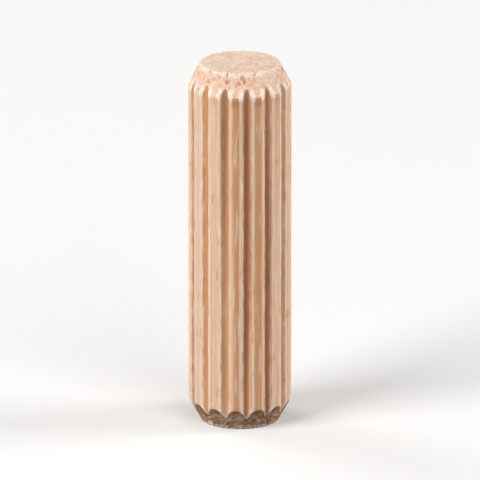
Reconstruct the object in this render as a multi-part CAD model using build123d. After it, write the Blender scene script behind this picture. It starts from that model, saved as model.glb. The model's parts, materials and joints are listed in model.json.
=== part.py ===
"""A fluted wooden dowel pin: one length of beech rod with pressed flutes and a cone cut on each end.

The pin stands on its lower end face. The origin is the centre of that face, and +Z runs along the pin.
"""

import os
from math import radians, sin, tan

from build123d import *

# Driving dimensions, in millimetres and degrees
PIN_DIAMETER = 8.2  # over the ribs
PIN_LENGTH = 29.5  # from end face to end face
CHAMFER_DEPTH = 0.95  # how far each cone comes in from the ribs, on the radius
CHAMFER_LENGTH = 1.8  # how far each cone runs along the pin
RIM_RADIUS = 0.15  # rounding between an end face and its cone
FLUTE_COUNT = 14
FLUTE_DEPTH = 0.36  # from the ribs down to the root
FLUTE_ANGLE = 50.0  # between the two flanks of a flute
FLUTE_ROOT_RADIUS = 0.24
FLUTE_LIP_RADIUS = 0.08  # rounding between a flank and the rib beside it
CUT_OVERRUN = 0.8  # how far a cut runs past what it cuts

# Sizes that follow from the driving dimensions
RIB_RADIUS = PIN_DIAMETER / 2
END_FACE_RADIUS = RIB_RADIUS - CHAMFER_DEPTH
FLANK_LEAN = radians(FLUTE_ANGLE / 2)


def flute_wedge():
    """The sharp V that one flute starts from, on the +X side and open past the ribs.

    Rounding the V lifts its root, so the V reaches that much deeper than the flute.
    """
    root_lift = FLUTE_ROOT_RADIUS / sin(FLANK_LEAN) - FLUTE_ROOT_RADIUS
    apex = RIB_RADIUS - FLUTE_DEPTH - root_lift
    mouth = RIB_RADIUS + CUT_OVERRUN
    half_mouth = (mouth - apex) * tan(FLANK_LEAN)
    return make_face(Polyline((apex, 0), (mouth, -half_mouth), (mouth, half_mouth), close=True))


def fluted_section():
    """The rod's cross section: ribs on one circle, with flutes between them, rounded at root and lips."""
    section = Circle(RIB_RADIUS) - PolarLocations(0, FLUTE_COUNT) * flute_wedge()
    roots = section.vertices().sort_by_distance((0, 0))[:FLUTE_COUNT]
    section = fillet(roots, FLUTE_ROOT_RADIUS)
    lips = section.vertices().sort_by_distance((0, 0))[-2 * FLUTE_COUNT :]
    return fillet(lips, FLUTE_LIP_RADIUS)


def fluted_rod():
    """The rod as it comes from the flute rollers, longer than the pin at both ends."""
    return Pos(0, 0, -CUT_OVERRUN) * extrude(fluted_section(), PIN_LENGTH + 2 * CUT_OVERRUN)


def coned_envelope():
    """Both end faces with their cones and rounded rims, on a body that stands clear of the ribs."""
    body_radius = RIB_RADIUS + CUT_OVERRUN
    cone_length = CHAMFER_LENGTH * (body_radius - END_FACE_RADIUS) / CHAMFER_DEPTH
    outline = Polyline(
        (0, 0),
        (END_FACE_RADIUS, 0),
        (body_radius, cone_length),
        (body_radius, PIN_LENGTH - cone_length),
        (END_FACE_RADIUS, PIN_LENGTH),
        (0, PIN_LENGTH),
        close=True,
    )
    half_section = make_face(Plane.XZ * outline)
    rims = half_section.vertices().group_by(Axis.X)[1]
    return revolve(fillet(rims, RIM_RADIUS), Axis.Z)


def dowel_pin():
    """The rod cut to length and coned: the flutes run out through the cones as a scalloped edge."""
    return fluted_rod() & coned_envelope()


os.makedirs("parts", exist_ok=True)
export_step(dowel_pin(), "parts/dowel_pin.step")
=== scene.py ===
import json
from cmath import phase, rect
from math import atan, atan2, cos, hypot, pi, radians, sin, sqrt, tan
from typing import NamedTuple

import bmesh
import bpy
from bpy.props import FloatProperty, FloatVectorProperty, IntProperty, PointerProperty
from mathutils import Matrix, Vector


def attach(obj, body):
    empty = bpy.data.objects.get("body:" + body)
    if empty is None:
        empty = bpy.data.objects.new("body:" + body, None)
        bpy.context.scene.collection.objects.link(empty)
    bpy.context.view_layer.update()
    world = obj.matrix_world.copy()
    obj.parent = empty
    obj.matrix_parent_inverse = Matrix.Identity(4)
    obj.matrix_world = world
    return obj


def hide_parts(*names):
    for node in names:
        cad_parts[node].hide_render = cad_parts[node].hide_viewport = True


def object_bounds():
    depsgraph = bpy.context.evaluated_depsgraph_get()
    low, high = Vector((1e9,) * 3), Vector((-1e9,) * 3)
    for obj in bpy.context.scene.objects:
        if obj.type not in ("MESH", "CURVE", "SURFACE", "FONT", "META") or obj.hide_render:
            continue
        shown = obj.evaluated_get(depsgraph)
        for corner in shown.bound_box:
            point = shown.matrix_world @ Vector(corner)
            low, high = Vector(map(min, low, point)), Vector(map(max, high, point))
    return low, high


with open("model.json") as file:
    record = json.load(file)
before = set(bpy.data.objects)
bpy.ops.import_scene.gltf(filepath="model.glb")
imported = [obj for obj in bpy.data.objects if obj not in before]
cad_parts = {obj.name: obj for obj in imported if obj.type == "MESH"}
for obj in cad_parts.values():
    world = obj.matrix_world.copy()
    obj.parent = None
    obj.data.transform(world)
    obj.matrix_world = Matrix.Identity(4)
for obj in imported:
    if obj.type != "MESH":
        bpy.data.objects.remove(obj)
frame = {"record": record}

bl_info = {
    "name": "Fluted dowel pin",
    "version": (1, 0, 0),
    "blender": (4, 5, 0),
    "location": "3D View > Sidebar > Dowel pin",
    "description": "Models a fluted beech dowel pin and the small studio that it stands in",
    "category": "Add Mesh",
}

CAD_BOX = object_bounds()
MM = 0.001
NODE = "dowel_pin"
PIECE = "fluted_beech_pin"
SHANK = next(mount for mount in frame["record"]["mounts"] if mount["name"] == "shank")
PIN_LENGTH = CAD_BOX[1].z - CAD_BOX[0].z

# Where the mesh has its points along each stretch of half a flute, from its root to the middle of the rib
ROOT_SHARES = (0, 0.25, 0.5, 0.75)
FLANK_SHARES = (0, 0.35, 0.7)
LIP_SHARES = (0, 0.35, 0.7)
RIB_SHARES = (0, 0.12, 0.3, 0.52, 0.76, 1)
FLUTE_STEPS = 2 * (len(ROOT_SHARES + FLANK_SHARES + LIP_SHARES + RIB_SHARES) - 1)

# The cuts that split the shank and each cone into rows, pass after pass, because one pass makes 100 at most
SHANK_CUTS = (14, 7)
CONE_CUTS = (19,)
RIM_STEPS = 4

# Edges that turn by more than this stay sharp, and points that are closer than this count as one place
SMOOTH_ANGLE = radians(24)
SAME_PLACE = 0.001 * MM

# How the wood lies in the pin: which way its rays run, the far pith that its growth rings curve about,
# and which way the saw went across its ends
RAY_TURN = radians(74)
PITH = (-11 * MM, 46 * MM)
SAW_TURN = radians(28)

# The regions of small unevenness: over what length they fade in, how wide the lips' region is in flute wave,
# and how far out from the rims there are pits
REGION_FADE = 0.3 * MM
LIP_SPREAD = 0.4
PIT_BAND = 0.7 * MM

# What the mesh remembers for its finish: how far each point moved, in millimetres, and how frayed it is there
RELIEF = "relief"
FRAYED = "frayed"

# Bare wood, which shines little
WOOD_IOR = 1.5
WOOD_SPECULAR = 0.35

# The studio's soft lights, all at one distance from the pin: name, azimuth, elevation, size and level
LIGHTS = (
    ("key", radians(-50), radians(28), 700 * MM, 0.9),
    ("fill", radians(35), radians(32), 800 * MM, 0.38),
    ("rim", radians(100), radians(18), 500 * MM, 0.6),
    ("edge", radians(-125), radians(20), 600 * MM, 0.35),
)
LIGHT_DISTANCE = 1200 * MM
ROOM_LEVEL = 0.22
FLOOR_SIZE = 4000 * MM
FLOOR_BOUNCE = 0.08


class Fray(NamedTuple):
    """How the edge between the shank and a cone frays.

    The flute wave is 1 in the middle of a flute and -1 in the middle of a rib.
    """

    most: float  # how frayed the edge is at its worst
    worst_wave: float  # the flute wave where that is
    rib_spread: float  # how far it spreads from there towards the rib, as a flute wave
    flute_spread: float  # how far it spreads into the flute
    cone_fade: float  # how fast it fades on the cone, where 1 is as fast as along the shank


UPPER_FRAY = Fray(most=1, worst_wave=-0.2, rib_spread=0.75, flute_spread=1.6, cone_fade=0.8)
LOWER_FRAY = Fray(most=0.6, worst_wave=0.4, rib_spread=1.2, flute_spread=1.2, cone_fade=2)
FRAY_REACH = 0.6 * MM


def mm(*lengths):
    """Lengths in millimetres, turned to metres."""
    return tuple(length * MM for length in lengths)


def linear(hex_colour):
    """An sRGB hex colour as the linear numbers that shaders take."""
    shares = [int(hex_colour[i : i + 2], 16) / 255 for i in (1, 3, 5)]
    return tuple(s / 12.92 if s <= 0.04045 else ((s + 0.055) / 1.055) ** 2.4 for s in shares)


def length_prop(name, description, default):
    """A length of the pin or the studio, in metres."""
    return FloatProperty(name=name, description=description, default=default, unit="LENGTH", precision=5)


def angle_prop(name, description, default):
    """An angle, kept in radians and shown in degrees."""
    return FloatProperty(name=name, description=description, default=default, subtype="ANGLE")


def colour_prop(name, description, hex_colour):
    """A colour, kept as linear numbers with its alpha."""
    default = (*linear(hex_colour), 1)
    return FloatVectorProperty(name=name, description=description, default=default, subtype="COLOR", size=4)


class DowelSizes(bpy.types.PropertyGroup):
    """The pin's sizes, from the frame where it gives them"""

    length: length_prop("Length", "From end face to end face", PIN_LENGTH)
    rib_radius: length_prop("Rib radius", "From the axis to the ribs", SHANK["dims"]["r_mm"] * MM)
    end_radius: length_prop("End face radius", "Where a cone would meet its end face, unrounded", 3.15 * MM)
    chamfer_length: length_prop(
        "Chamfer length", "How far each cone runs", (PIN_LENGTH - SHANK["dims"]["length_mm"] * MM) / 2
    )
    rim_radius: length_prop("Rim radius", "Rounding between an end face and its cone", 0.15 * MM)
    rib_crown: length_prop("Rib crown", "How much lower a rib lies at its edges than in its middle", 0.1 * MM)
    flute_count: IntProperty(name="Flutes", description="How many flutes go round the pin", default=14, min=3)
    flute_depth: length_prop("Flute depth", "From the ribs down to the root", 0.36 * MM)
    flute_angle: angle_prop("Flute angle", "Between a flute's flanks", radians(50))
    root_radius: length_prop("Root radius", "Rounding at the bottom of a flute", 0.24 * MM)
    lip_radius: length_prop("Lip radius", "Rounding between a flank and its rib", 0.08 * MM)


class BeechColours(bpy.types.PropertyGroup):
    """The colours of the wood in plain light"""

    rib_pale: colour_prop("Rib, pale", "Long grain where it is palest", "#F1D5BD")
    rib_tan: colour_prop("Rib, tan", "Long grain where it is darkest", "#E0B592")
    # A darker band along the middles of some ribs
    dark_rib_middle: colour_prop("Crest", "The middles of ribs that the die burnished", "#C68F66")
    fleck: colour_prop("Ray fleck", "The short dark flecks of the rays", "#A96C40")
    flute_warm: colour_prop("Flute, warm", "Wood pressed to orange brown in the flutes", "#CA966A")
    flute_dark: colour_prop("Flute, dark", "Wood pressed to dark brown in the flutes", "#A8724C")
    # Partly painted highlight: pale torn fibre along the flutes' edges, painted paler for the light that the
    # lips catch from the side lights
    lip_fibre_and_highlight: colour_prop("Lip", "Pale wood along the edges of the flutes", "#F3D8C0")
    fibre: colour_prop("Raised fibre", "Pale fibres torn up along edges", "#F9E8D8")
    end_pale: colour_prop("End grain, pale", "Sawn end grain between its pores", "#EAD1BD")
    end_tan: colour_prop("End grain, tan", "Pores and torn places in the end grain", "#CF9166")
    # Painted shade: this dark brown stands for the shade on the lower cone, whose wood is the same as the
    # upper's
    painted_shade_brown: colour_prop("End grain, brown", "The lower cone, where a blunt cutter burnished it", "#7C5032")


class StudioSettings(bpy.types.PropertyGroup):
    """Where the camera stands, and the floor"""

    azimuth: angle_prop("Azimuth", "Turn of the camera round the pin", radians(5))
    elevation: angle_prop("Elevation", "Height of the camera above level", radians(17.8))
    distance: length_prop("Distance", "From the camera to the middle of the pin", 1000 * MM)
    field: length_prop("Field", "Height of the picture at the pin", 38 * MM)
    floor: colour_prop("Floor", "Plain pale floor", "#F4F3F2")


def crowned(angle, radius, rib_start, sizes):
    """A point's radius once its rib is crowned.

    The rib comes down at its edges and stays as it is in its middle. The root of the flute stays too.
    """
    rib_middle = pi / sizes.flute_count
    across_rib = (rib_middle - angle) / (rib_middle - rib_start)
    up_flank = 1 + (radius - sizes.rib_radius) / sizes.flute_depth
    return radius - sizes.rib_crown * min(across_rib**2, up_flank)


def flute_profile(sizes):
    """Half a flute from its root to the middle of the rib, as (angle, radius) about the pin's axis.

    A point is a complex number here: its real part runs outwards along the middle of the flute.
    """
    lean = sizes.flute_angle / 2
    root_centre = sizes.rib_radius - sizes.flute_depth + sizes.root_radius
    flank, into_wood = rect(1, lean), rect(1, lean + pi / 2)
    flank_start = root_centre + sizes.root_radius * into_wood
    # The lip's centre is on a line beside the flank, one lip radius inside the ribs' circle
    beside = flank_start + sizes.lip_radius * into_wood
    along = (beside * flank.conjugate()).real
    reach = sqrt(along**2 - abs(beside) ** 2 + (sizes.rib_radius - sizes.lip_radius) ** 2) - along
    lip_centre = beside + reach * flank
    rib_start, rib_middle = phase(lip_centre), pi / sizes.flute_count
    lip_from, lip_turn = lean - pi / 2, rib_start - lean + pi / 2

    points = [root_centre + rect(sizes.root_radius, pi + s * (lean - pi / 2)) for s in ROOT_SHARES]
    points += [flank_start + s * reach * flank for s in FLANK_SHARES]
    points += [lip_centre + rect(sizes.lip_radius, lip_from + s * lip_turn) for s in LIP_SHARES]
    points += [rect(sizes.rib_radius, rib_start + s * (rib_middle - rib_start)) for s in RIB_SHARES]
    return [(phase(point), crowned(phase(point), abs(point), rib_start, sizes)) for point in points]


def flute_columns(sizes):
    """One flute from its root to the next root, as the (angle, radius) of each of the mesh's columns."""
    half = flute_profile(sizes)
    pitch = 2 * pi / sizes.flute_count
    return half + [(pitch - angle, radius) for angle, radius in half[-2:0:-1]]


def cone_slope(sizes):
    """How far a cone runs along the pin for each unit that it comes in."""
    return sizes.chamfer_length / (sizes.rib_radius - sizes.end_radius)


def rim_profile(sizes):
    """The rounding of a rim from its cone in to the end face, as (radius, height above the end face)."""
    turn = atan(cone_slope(sizes))
    centre = sizes.end_radius - sizes.rim_radius * tan(turn / 2)
    leans = [turn * (1 - step / RIM_STEPS) for step in range(RIM_STEPS + 1)]
    return [(centre + sizes.rim_radius * sin(lean), sizes.rim_radius * (1 - cos(lean))) for lean in leans]


def select_in_edit(kind, test):
    """Selects the vertices or edges of the mesh being edited that pass a test."""
    bpy.ops.mesh.select_mode(type=kind)
    bpy.ops.mesh.select_all(action="DESELECT")
    data = bpy.context.edit_object.data
    mesh = bmesh.from_edit_mesh(data)
    for element in {"VERT": mesh.verts, "EDGE": mesh.edges}[kind]:
        if test(element):
            element.select_set(True)
    mesh.select_flush_mode()
    bmesh.update_edit_mesh(data)


def move_selected(turn=0, scale=1, rise=0):
    """Turns what is selected about the pin's axis, scales it out from the axis and lifts it.

    With no window, the rotate operator turns the other way.
    """
    bpy.ops.transform.rotate(value=-turn, orient_axis="Z", center_override=(0, 0, 0))
    bpy.ops.transform.resize(value=(scale, scale, 1), center_override=(0, 0, 0))
    bpy.ops.transform.translate(value=(0, 0, rise))


def move_column(first, column, **move):
    """Moves one column in every flute, from vertex number first on."""
    select_in_edit("VERT", lambda v: v.index >= first and v.index % FLUTE_STEPS == column)
    move_selected(**move)


def extrude_ring(ring):
    """Extrudes the last ring of vertices in place, and returns the number of the new ring's first vertex."""
    select_in_edit("VERT", lambda v: v.index >= ring)
    bpy.ops.mesh.extrude_region_move()
    mesh = bmesh.from_edit_mesh(bpy.context.edit_object.data)
    return min(v.index for v in mesh.verts if v.select)


def draw_out_walls(sizes):
    """The pin's wall as three bands of quads, from the lower rim over cone, shank and cone to the upper rim.

    Each column of the shank ends where it meets the cone, so the flutes run out as a scalloped edge.
    """
    columns = flute_columns(sizes)
    step = 2 * pi / (sizes.flute_count * FLUTE_STEPS)
    rim_radius, rim_height = rim_profile(sizes)[0]
    rises = [cone_slope(sizes) * (radius - rim_radius) for _, radius in columns]
    scales = [radius / rim_radius for _, radius in columns]
    for column, (angle, _) in enumerate(columns):
        move_column(0, column, turn=angle - column * step, rise=rim_height)
    lower = extrude_ring(0)
    for column, rise in enumerate(rises):
        move_column(lower, column, scale=scales[column], rise=rise)
    upper = extrude_ring(lower)
    for column, rise in enumerate(rises):
        move_column(upper, column, rise=sizes.length - 2 * (rim_height + rise))
    rim = extrude_ring(upper)
    for column, rise in enumerate(rises):
        move_column(rim, column, scale=1 / scales[column], rise=rise)


def is_upright(edge):
    """Whether an edge runs along the shank."""
    low, high = (v.co for v in edge.verts)
    return hypot(low.x - high.x, low.y - high.y) < SAME_PLACE


def is_slanted(edge):
    """Whether an edge runs up or down a cone, straight out from the axis."""
    low, high = (v.co for v in edge.verts)
    sideways = abs(low.x * high.y - low.y * high.x) / hypot(low.x, low.y)
    return sideways < SAME_PLACE and not is_upright(edge)


def cut_rows(test, cuts_in_turn):
    """Cuts the bands of quads whose edges pass the test into rows."""
    for cuts in cuts_in_turn:
        select_in_edit("EDGE", test)
        bpy.ops.mesh.subdivide(number_cuts=cuts)


def close_ends(sizes):
    """Rounds each open rim in towards its end face, step by step, and fills the end face with a grid."""
    profile = rim_profile(sizes)
    for upper, outwards in ((False, -1), (True, 1)):
        select_in_edit("EDGE", lambda e: e.is_boundary and (e.verts[0].co.z > sizes.length / 2) == upper)
        for (radius, height), (next_radius, next_height) in zip(profile, profile[1:]):
            bpy.ops.mesh.extrude_region_move()
            move_selected(scale=next_radius / radius, rise=outwards * (height - next_height))
        bpy.ops.mesh.fill_grid(span=sizes.flute_count * FLUTE_STEPS // 4)
    bpy.ops.mesh.select_all(action="SELECT")
    bpy.ops.mesh.normals_make_consistent(inside=False)


def inside_cone(place, sizes):
    """How far a place lies, along the pin, inside the cones that cut its ends."""
    to_end = min(place.z, sizes.length - place.z)
    return to_end - cone_slope(sizes) * (hypot(place.x, place.y) - sizes.end_radius)


def on_shank(place, sizes):
    """Whether a place is on the fluted shank, and not on a cone, a rim or an end face.

    The end faces lie inside the cones too, but nearer to the axis than the roots of the flutes.
    """
    under_roots = sizes.rib_radius - 1.5 * sizes.flute_depth
    return hypot(place.x, place.y) > under_roots and inside_cone(place, sizes) > SAME_PLACE


def flute_wave(place, sizes):
    """1 in the middle of a flute and -1 in the middle of a rib, by the angle about the axis."""
    return cos(sizes.flute_count * atan2(place.y, place.x))


def roughen(pin, region, cell, depth, still_at, turn=0, contrast=1.0, intensity=1.0):
    """Moves the vertices of a region along their normals by cloudy noise whose cells have the given size.

    The noise runs from 0 to 1, and still_at is the value that moves nothing: 1 only takes wood away.
    A negative depth cuts where the noise is high. With more contrast and less intensity, it cuts only where
    the noise peaks.
    """
    group = pin.vertex_groups.new(name=region.__name__)
    for vertex in pin.data.vertices:
        group.add([vertex.index], max(0, min(region(vertex.co), 1)), "REPLACE")
    bpy.ops.object.empty_add(rotation=(0, 0, turn))
    guide = bpy.context.object
    guide.scale = cell
    clouds = bpy.data.textures.new(group.name, "CLOUDS")
    clouds.noise_scale = 1
    clouds.contrast = contrast
    clouds.intensity = intensity
    clouds.use_clamp = True
    modifier = pin.modifiers.new(group.name, "DISPLACE")
    modifier.texture = clouds
    modifier.texture_coords = "OBJECT"
    modifier.texture_coords_object = guide
    modifier.vertex_group = group.name
    modifier.strength = depth
    modifier.mid_level = still_at
    bpy.context.view_layer.update()
    bpy.context.view_layer.objects.active = pin
    bpy.ops.object.modifier_apply(modifier=modifier.name)
    pin.vertex_groups.clear()
    bpy.data.objects.remove(guide)
    bpy.data.textures.remove(clouds)


def remember(pin, name, numbers):
    """Keeps a number for each of the pin's points in its mesh, where the finish can read it."""
    attribute = pin.data.attributes.new(name, "FLOAT", "POINT")
    attribute.data.foreach_set("value", numbers)


def weather(pin, sizes):
    """Gives the wood the small unevenness that rolling, sawing and coning leave.

    Each region gives a place its share of one kind of unevenness, and shares below 0 or above 1 are cut off.
    How far each point moved and how frayed it is stay in the mesh, so that the finish can follow them.
    """
    rib_start, _ = flute_profile(sizes)[-len(RIB_SHARES)]
    lip_wave = cos(sizes.flute_count * rib_start)

    def long_grain(place):
        return inside_cone(place, sizes) / REGION_FADE if on_shank(place, sizes) else 0

    def lips(place):
        return 1 - abs(flute_wave(place, sizes) - lip_wave) / LIP_SPREAD if on_shank(place, sizes) else 0

    def flutes(place):
        return (flute_wave(place, sizes) - lip_wave) * long_grain(place)

    def cones(place):
        return 0 if on_shank(place, sizes) else (hypot(place.x, place.y) - sizes.end_radius) / REGION_FADE

    def end_faces(place):
        return 0 if on_shank(place, sizes) else 1 - cones(place)

    def pitted(place):
        from_rim = hypot(place.x, place.y) - sizes.end_radius
        within_band = min(REGION_FADE + from_rim, PIT_BAND - from_rim) / REGION_FADE
        return 0 if on_shank(place, sizes) else within_band

    def frayed(place):
        fray = UPPER_FRAY if place.z > sizes.length / 2 else LOWER_FRAY
        wave = flute_wave(place, sizes)
        spread = fray.rib_spread if wave < fray.worst_wave else fray.flute_spread
        near_worst = 1 - abs(wave - fray.worst_wave) / spread
        edge_dip = max(sizes.rib_crown, sizes.flute_depth * (wave - lip_wave) / (1 - lip_wave))
        up_cone = cone_slope(sizes) * (sizes.rib_radius - edge_dip - hypot(place.x, place.y))
        from_edge = inside_cone(place, sizes) if on_shank(place, sizes) else up_cone * fray.cone_fade
        return fray.most * max(0, near_worst) * max(0, 1 - abs(from_edge) / FRAY_REACH)

    before = [(v.co.copy(), v.normal.copy()) for v in pin.data.vertices]
    roughen(pin, long_grain, cell=mm(0.24, 0.24, 5), depth=0.03 * MM, still_at=0.5)
    roughen(pin, flutes, cell=mm(1.2, 1.2, 6), depth=0.12 * MM, still_at=0.5)
    roughen(pin, lips, cell=mm(0.3, 0.3, 0.9), depth=0.09 * MM, still_at=0.5)
    roughen(pin, pitted, cell=mm(0.42, 0.42, 0.7), depth=-0.18 * MM, still_at=0, contrast=3, intensity=0.35)
    roughen(pin, cones, cell=mm(0.14, 0.14, 0.2), depth=0.05 * MM, still_at=1)
    roughen(pin, end_faces, cell=mm(0.2, 0.3, 1), depth=0.03 * MM, still_at=1, turn=SAW_TURN)
    moves = [(v.co - place).dot(normal) / MM for v, (place, normal) in zip(pin.data.vertices, before)]
    remember(pin, RELIEF, moves)
    remember(pin, FRAYED, [frayed(place) for place, _ in before])


def add_node(material, kind, inputs=None, **settings):
    """Adds a node with its settings, gives its sockets values or links, and returns its outputs."""
    node = material.node_tree.nodes.new(kind)
    for name, value in settings.items():
        setattr(node, name, value)
    for socket, value in (inputs or {}).items():
        if isinstance(value, bpy.types.NodeSocket):
            material.node_tree.links.new(value, node.inputs[socket])
        else:
            node.inputs[socket].default_value = value
    return node.outputs


def together(material, first, *others):
    """The share of the surface that several shares leave together, which is their product."""
    share = first
    for other in others:
        share = add_node(material, "ShaderNodeMath", {0: share, 1: other}, operation="MULTIPLY")[0]
    return share


def zone(material, value, *edges):
    """The share of the surface where a value is past every edge.

    Each edge is given by where it starts and where it is full.
    """
    shares = [
        add_node(
            material,
            "ShaderNodeMapRange",
            {"Value": value, "From Min": start, "From Max": full},
            interpolation_type="SMOOTHSTEP",
        )["Result"]
        for start, full in edges
    ]
    return together(material, *shares)


def grain(material, place, cell, edge, detail=2, turn=0, shift=0):
    """The share of the surface where a noise with cells of the given size is past an edge.

    A turn lays the cells another way across the pin. A shift moves them, so that two noises differ or one
    falls well on the ribs.
    """
    mapped = add_node(
        material,
        "ShaderNodeMapping",
        {"Vector": place, "Location": (shift, shift, shift), "Rotation": (0, 0, turn), "Scale": cell},
        vector_type="TEXTURE",
    )["Vector"]
    noise = add_node(material, "ShaderNodeTexNoise", {"Vector": mapped, "Scale": 1, "Detail": detail})["Fac"]
    return zone(material, noise, edge)


def spots(material, place, cell, edge):
    """The share of spots that lie in rows along the rays, in cells of the given size.

    The edge says how far from its own point each spot starts and how near it is full.
    """
    rows = add_node(
        material,
        "ShaderNodeMapping",
        {"Vector": place, "Rotation": (0, 0, RAY_TURN), "Scale": cell},
        vector_type="TEXTURE",
    )["Vector"]
    distance = add_node(material, "ShaderNodeTexVoronoi", {"Vector": rows, "Scale": 1})["Distance"]
    return zone(material, distance, edge)


def layer(material, under, colour, strength, *shares):
    """Lays a colour over what is under it, as strongly as its strength and all its shares say.

    A Mix node's colour sockets share their names with its other kinds, so they go by number.
    """
    factor = together(material, strength, *shares)
    return add_node(material, "ShaderNodeMix", {0: factor, 6: under, 7: colour}, data_type="RGBA")[2]


def growth_rings(material, place):
    """Dark late wood at the end of each year's growth, in rings about a far pith.

    The wave texture turns 20 radians in each unit out from its axis, and its scale makes that one ring.
    The rings waver 20 times more slowly along the grain than across it.
    """
    ring_width = 1.9 * MM
    rings = add_node(
        material,
        "ShaderNodeMapping",
        {"Vector": place, "Location": (*PITH, 0), "Scale": (ring_width, ring_width, 20 * ring_width)},
        vector_type="TEXTURE",
    )["Vector"]
    wave = add_node(
        material,
        "ShaderNodeTexWave",
        {"Vector": rings, "Scale": 2 * pi / 20, "Distortion": 1.5, "Detail": 2, "Detail Scale": 1},
        wave_type="RINGS",
        rings_direction="Z",
        wave_profile="SAW",
    )["Fac"]
    return zone(material, wave, (0.4, 1))


def frayed_fibres(material, place):
    """Pale tufts of torn fibre along the coned edges, thick at some corners and thin at others."""
    fray = add_node(material, "ShaderNodeAttribute", attribute_name=FRAYED)["Fac"]
    tufts = grain(material, place, cell=mm(0.16, 0.16, 0.7), edge=(0.24, 0.5))
    corners = grain(material, place, cell=mm(0.8, 0.8, 0.8), edge=(0.26, 0.52), shift=4 * MM)
    return together(material, tufts, corners, zone(material, fray, (0.15, 0.45)))


def start_material(name):
    """A new material with no nodes but the piece's own coordinates."""
    material = bpy.data.materials.new(name)
    material.use_nodes = True
    material.node_tree.nodes.clear()
    return material, add_node(material, "ShaderNodeTexCoord")["Object"]


def finish_material(material, colour, roughness, height, depth):
    """Ends a material in one bare wood shader with its bump."""
    normal = add_node(material, "ShaderNodeBump", {"Height": height, "Strength": 1, "Distance": depth})
    shader = add_node(
        material,
        "ShaderNodeBsdfPrincipled",
        {
            "Base Color": colour,
            "Roughness": roughness,
            "Normal": normal["Normal"],
            "IOR": WOOD_IOR,
            "Specular IOR Level": WOOD_SPECULAR,
        },
    )
    add_node(material, "ShaderNodeOutputMaterial", {"Surface": shader["BSDF"]})
    return material


def long_grain_beech(colours, sizes):
    """Beech along the grain, rolled in a fluting die.

    To the eye it is pale pinkish tan with long soft streaks and short dark ray flecks. The flutes are pressed
    dark, and their lips stand up in pale torn fibres, painted paler still as a painted highlight where they
    catch the side lights. The middles of some ribs are darker. The finest fibres are drawn several times as
    coarse as they are, so that they show.
    """
    material, place = start_material("beech_long_grain_rolled")
    axes = add_node(material, "ShaderNodeSeparateXYZ", {"Vector": place})
    angle = add_node(material, "ShaderNodeMath", {0: axes["Y"], 1: axes["X"]}, operation="ARCTAN2")[0]
    turns = add_node(material, "ShaderNodeMath", {0: angle, 1: sizes.flute_count}, operation="MULTIPLY")[0]
    wave = add_node(material, "ShaderNodeMath", {0: turns}, operation="COSINE")[0]
    relief = add_node(material, "ShaderNodeAttribute", attribute_name=RELIEF)["Fac"]

    streaks = grain(material, place, cell=mm(0.7, 0.7, 40), edge=(0.36, 0.66), detail=3)
    fibres = grain(material, place, cell=mm(0.13, 0.13, 3), edge=(0.4, 0.62), detail=3)
    ragged = grain(material, place, cell=mm(0.22, 0.22, 1.6), edge=(0.3, 0.62))
    per_rib = grain(material, place, cell=mm(1.6, 1.6, 80), edge=(0.42, 0.56), shift=62.9 * MM)
    per_flute = grain(material, place, cell=mm(2.2, 2.2, 60), edge=(0.41, 0.58), shift=100.3 * MM)
    bruised = grain(material, place, cell=mm(1, 1, 60), edge=(0.5, 0.6), shift=61.1 * MM)
    beaded = grain(material, place, cell=mm(0.45, 0.45, 1.1), edge=(0.42, 0.6), shift=3 * MM)
    patches = grain(material, place, cell=mm(0.3, 0.3, 3), edge=(0.2, 0.5), shift=2 * MM)
    # The rays are thin sheets across the rings, which the side of the pin cuts into short spindles
    flecks = spots(material, place, cell=mm(7, 0.36, 2.4), edge=(0.24, 0.12))

    # Where each part of the finish lies. The wave is 1 in the middle of a flute and -1 in the middle of a rib
    dark_rib_middle = zone(material, wave, (-0.3, -0.75))
    # The pale lips: partly torn fibre, partly a painted highlight where the lips catch the side lights
    lip_fibre_and_highlight = zone(material, wave, (-0.55, 0.05), (0.66, 0.42))
    pressed = zone(material, wave, (0.5, 0.97))
    beside = zone(material, wave, (0, 0.5))
    raised = zone(material, relief, (0.02, 0.06))
    cone_edge = sizes.length - sizes.chamfer_length
    rib_tops = zone(material, axes["Z"], (cone_edge - 1 * MM, cone_edge - 0.4 * MM))

    wood = layer(material, colours.rib_pale, colours.rib_tan, 0.8, streaks)
    wood = layer(material, wood, colours.rib_tan, 0.6, growth_rings(material, place))
    wood = layer(material, wood, colours.rib_tan, 0.6, fibres)
    wood = layer(material, wood, colours.fleck, 0.42, flecks)
    # A darker band along the middles of some ribs, darker still near the upper cone
    wood = layer(material, wood, colours.dark_rib_middle, 0.95, patches, per_rib, dark_rib_middle)
    wood = layer(material, wood, colours.fleck, 0.6, per_rib, dark_rib_middle, rib_tops)
    # Pale lips along the flutes, partly torn fibre and partly a painted highlight
    wood = layer(material, wood, colours.lip_fibre_and_highlight, 0.65, ragged, lip_fibre_and_highlight)
    flute = layer(material, colours.flute_warm, colours.flute_dark, 1, per_flute)
    wood = layer(material, wood, flute, 0.7, bruised, beside)
    wood = layer(material, wood, flute, 0.45, beaded, beside)
    wood = layer(material, wood, flute, 0.95, pressed)
    wood = layer(material, wood, colours.fibre, 0.25, raised)
    wood = layer(material, wood, colours.fibre, 0.95, frayed_fibres(material, place))

    height = add_node(material, "ShaderNodeMath", {0: fibres, 1: flecks}, operation="SUBTRACT")[0]
    roughness = add_node(
        material,
        "ShaderNodeMapRange",
        {"Value": wave, "From Min": -1, "From Max": 1, "To Min": 0.5, "To Max": 0.75},
    )["Result"]
    return finish_material(material, wood, roughness, height, depth=0.02 * MM)


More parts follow.
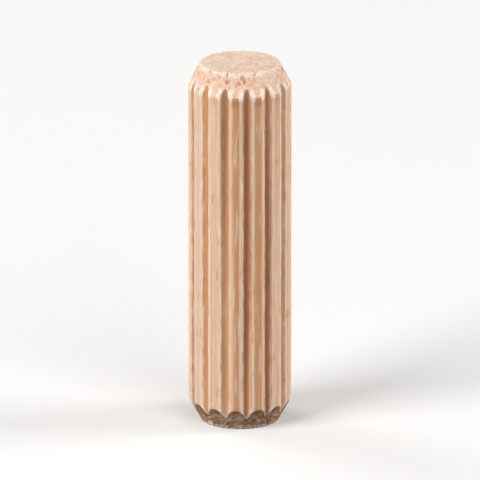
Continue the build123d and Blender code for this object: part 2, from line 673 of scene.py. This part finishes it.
def end_grain_beech(colours, sizes):
    """Beech across the grain, sawn off and coned with a blunt cutter.

    To the eye it is paler than the sides, speckled with open pores, ruled by fine rays and torn in small
    brown pits, with pale broken fibres along its edges. The lower cone is painted dark brown as painted
    shade, in patches and in arches under the ribs' ends. The pores are drawn about three times as coarse
    as they are, so that they show.
    """
    material, place = start_material("beech_end_grain_sawn")
    relief = add_node(material, "ShaderNodeAttribute", attribute_name=RELIEF)["Fac"]
    height = add_node(material, "ShaderNodeSeparateXYZ", {"Vector": place})["Z"]
    flat = add_node(material, "ShaderNodeVectorMath", {0: place, 1: (1, 1, 0)}, operation="MULTIPLY")[0]
    radius = add_node(material, "ShaderNodeVectorMath", {0: flat}, operation="LENGTH")["Value"]

    ray_lines = grain(material, place, cell=mm(2.5, 0.17, 2.5), edge=(0.48, 0.7), turn=RAY_TURN)
    # The pores are the vessels of the wood, cut across
    pores = spots(material, place, cell=mm(0.34, 0.6, 1), edge=(0.36, 0.16))
    shreds = grain(material, place, cell=mm(0.22, 0.22, 0.4), edge=(0.42, 0.58))
    crumbs = grain(material, place, cell=mm(0.28, 0.28, 0.28), edge=(0.5, 0.64), shift=9 * MM)
    # Painted shade: patches of dark brown on the lower cone, shifted so that there are fewer on its left,
    # where the key light falls
    painted_shade_patches = grain(material, place, cell=mm(0.5, 0.5, 0.6), edge=(0.38, 0.6), shift=29 * MM)
    mottled = grain(material, place, cell=mm(0.8, 0.8, 0.8), edge=(0.44, 0.66), shift=5 * MM)

    # Where each part of the finish lies, by how far out it is, how high and how deeply torn
    end, cone_top = sizes.end_radius, sizes.chamfer_length
    rim = zone(material, radius, (end - 0.17 * MM, end - 0.09 * MM), (end + 0.19 * MM, end + 0.05 * MM))
    cones = zone(material, radius, (end, end + 0.25 * MM))
    # Painted shade: the lower cone, and arches under the ribs' ends on it, are where dark brown is painted
    # for shade
    lower = zone(material, height, (sizes.length / 2, cone_top), (0, 0.12 * MM))
    painted_shade_arches = zone(material, height, (cone_top / 2, cone_top - 0.2 * MM))
    torn = zone(material, relief, (-0.05, -0.075))

    wood = layer(material, colours.end_pale, colours.rib_tan, 0.3, growth_rings(material, place))
    wood = layer(material, wood, colours.end_tan, 0.2, ray_lines)
    wood = layer(material, wood, colours.end_tan, 0.3, mottled)
    wood = layer(material, wood, colours.end_tan, 0.5, pores)
    wood = layer(material, wood, colours.fibre, 0.4, crumbs)
    wood = layer(material, wood, colours.end_tan, 0.2, cones)
    wood = layer(material, wood, colours.end_tan, 0.9, torn)
    # Painted shade: the lower cone is laid over with dark brown, evenly, in patches and in arches under the
    # ribs
    wood = layer(material, wood, colours.painted_shade_brown, 0.42, lower)
    wood = layer(material, wood, colours.painted_shade_brown, 0.7, painted_shade_patches, lower)
    wood = layer(material, wood, colours.painted_shade_brown, 0.6, painted_shade_arches, lower)
    wood = layer(material, wood, colours.fibre, 0.7, shreds, rim)
    wood = layer(material, wood, colours.fibre, 0.95, frayed_fibres(material, place))
    bumps = add_node(material, "ShaderNodeMath", {0: shreds, 1: pores}, operation="SUBTRACT")[0]
    return finish_material(material, wood, roughness=0.8, height=bumps, depth=0.03 * MM)


def dress(pin, colours, sizes):
    """Gives the shank its long grain, and the cones and end faces their end grain."""
    pin.data.materials.append(long_grain_beech(colours, sizes))
    pin.data.materials.append(end_grain_beech(colours, sizes))
    for face in pin.data.polygons:
        face.material_index = 0 if on_shank(face.center, sizes) else 1


class DOWEL_OT_model_pin(bpy.types.Operator):
    """Model the fluted pin with its coned ends, and dress it in beech"""

    bl_idname = "dowel.model_pin"
    bl_label = "Model the pin"

    def execute(self, context):
        sizes = context.scene.dowel_sizes
        bpy.ops.object.select_all(action="DESELECT")
        bpy.ops.mesh.primitive_circle_add(
            vertices=sizes.flute_count * FLUTE_STEPS,
            radius=rim_profile(sizes)[0][0],
            rotation=(0, 0, -pi / 2),
        )
        pin = context.object
        pin.name = pin.data.name = PIECE
        bpy.ops.object.transform_apply(rotation=True)
        bpy.ops.object.mode_set(mode="EDIT")
        draw_out_walls(sizes)
        cut_rows(is_upright, SHANK_CUTS)
        cut_rows(is_slanted, CONE_CUTS)
        close_ends(sizes)
        bpy.ops.object.mode_set(mode="OBJECT")
        # The faces are told apart by their true places, so they are dressed before the wood is made uneven
        dress(pin, context.scene.dowel_colours, sizes)
        weather(pin, sizes)
        bpy.ops.object.select_all(action="DESELECT")
        pin.select_set(True)
        bpy.ops.object.shade_smooth_by_angle(angle=SMOOTH_ANGLE)
        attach(pin, "root")
        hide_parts(NODE)
        return {"FINISHED"}


def direction(azimuth, elevation):
    """The way from the pin to a place at an azimuth, counted from the front, and an elevation."""
    return Vector((sin(azimuth) * cos(elevation), -cos(azimuth) * cos(elevation), sin(elevation)))


def soft_light(name, azimuth, elevation, size, level, middle):
    """A square soft light that faces the pin. At level 1 it alone would light a white card there fully."""
    toward = direction(azimuth, elevation)
    bpy.ops.object.light_add(type="AREA", location=middle + toward * LIGHT_DISTANCE)
    lamp = bpy.context.object
    lamp.name = name
    lamp.data.size = size
    lamp.data.energy = level * (pi * LIGHT_DISTANCE) ** 2
    lamp.rotation_euler = toward.to_track_quat("Z", "Y").to_euler()


def seen_share(tree_owner):
    """1 on rays that show a thing to the eye, straight or by a reflection or through glass.

    It is 0 on rays that carry light from one thing to another.
    """
    path = add_node(tree_owner, "ShaderNodeLightPath")
    seen = path["Is Camera Ray"]
    for ray in ("Is Glossy Ray", "Is Transmission Ray"):
        seen = add_node(tree_owner, "ShaderNodeMath", {0: seen, 1: path[ray]}, operation="MAXIMUM")[0]
    return seen


def white_room(level):
    """A plain white room that lights the pin evenly at the given level and looks white itself."""
    world = bpy.data.worlds.new("white_room")
    world.use_nodes = True
    world.node_tree.nodes.clear()
    seen = seen_share(world)
    strength = add_node(world, "ShaderNodeMapRange", {"Value": seen, "To Min": level, "To Max": 1})["Result"]
    shader = add_node(world, "ShaderNodeBackground", {"Color": (1, 1, 1, 1), "Strength": strength})
    add_node(world, "ShaderNodeOutputWorld", {"Surface": shader["Background"]})
    return world


def pale_floor(studio):
    """A plain pale matt floor. It looks pale, and throws back less light on what stands on it."""
    material, _ = start_material("pale_matt_floor")
    bounce = (FLOOR_BOUNCE, FLOOR_BOUNCE, FLOOR_BOUNCE, 1)
    colour = layer(material, bounce, studio.floor, 1, seen_share(material))
    shader = add_node(material, "ShaderNodeBsdfPrincipled", {"Base Color": colour, "Roughness": 0.9})
    add_node(material, "ShaderNodeOutputMaterial", {"Surface": shader["BSDF"]})
    return material


class DOWEL_OT_set_stage(bpy.types.Operator):
    """Set up the floor, the soft lights and the camera"""

    bl_idname = "dowel.set_stage"
    bl_label = "Set the stage"

    def execute(self, context):
        studio, sizes = context.scene.dowel_studio, context.scene.dowel_sizes
        middle = Vector((0, 0, sizes.length / 2))
        bpy.ops.object.select_all(action="DESELECT")
        bpy.ops.mesh.primitive_plane_add(size=FLOOR_SIZE)
        floor = context.object
        floor.name = "floor"
        floor.data.materials.append(pale_floor(studio))

        for light in LIGHTS:
            soft_light(*light, middle)
        context.scene.world = white_room(ROOM_LEVEL)

        back = direction(studio.azimuth, studio.elevation)
        bpy.ops.object.camera_add(location=middle + back * studio.distance)
        camera = context.object
        camera.rotation_euler = back.to_track_quat("Z", "Y").to_euler()
        camera.data.lens = camera.data.sensor_width * studio.distance / studio.field
        camera.data.clip_end = 10 * studio.distance
        context.scene.camera = camera
        context.scene.view_settings.view_transform = "Standard"
        return {"FINISHED"}


class DOWEL_PT_sidebar(bpy.types.Panel):
    """The steps that make the pin, and its sizes and colours"""

    bl_label = "Dowel pin"
    bl_idname = "DOWEL_PT_sidebar"
    bl_space_type = "VIEW_3D"
    bl_region_type = "UI"
    bl_category = "Dowel pin"

    def draw(self, context):
        for operator in OPERATORS:
            self.layout.operator(operator.bl_idname)
        for name, group in SETTINGS.items():
            box = self.layout.box()
            for prop in group.__annotations__:
                box.prop(getattr(context.scene, name), prop)


SETTINGS = {"dowel_sizes": DowelSizes, "dowel_colours": BeechColours, "dowel_studio": StudioSettings}
OPERATORS = (DOWEL_OT_model_pin, DOWEL_OT_set_stage)
CLASSES = (*SETTINGS.values(), *OPERATORS, DOWEL_PT_sidebar)


def register():
    """Adds the classes, and each group of settings to the scene."""
    for cls in CLASSES:
        bpy.utils.register_class(cls)
    for name, group in SETTINGS.items():
        setattr(bpy.types.Scene, name, PointerProperty(type=group))


def unregister():
    """Takes the settings and the classes away again."""
    for name in SETTINGS:
        delattr(bpy.types.Scene, name)
    for cls in reversed(CLASSES):
        bpy.utils.unregister_class(cls)


def main():
    """Models the pin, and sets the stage."""
    register()
    bpy.ops.dowel.model_pin()
    bpy.ops.dowel.set_stage()


if __name__ == "__main__":
    main()
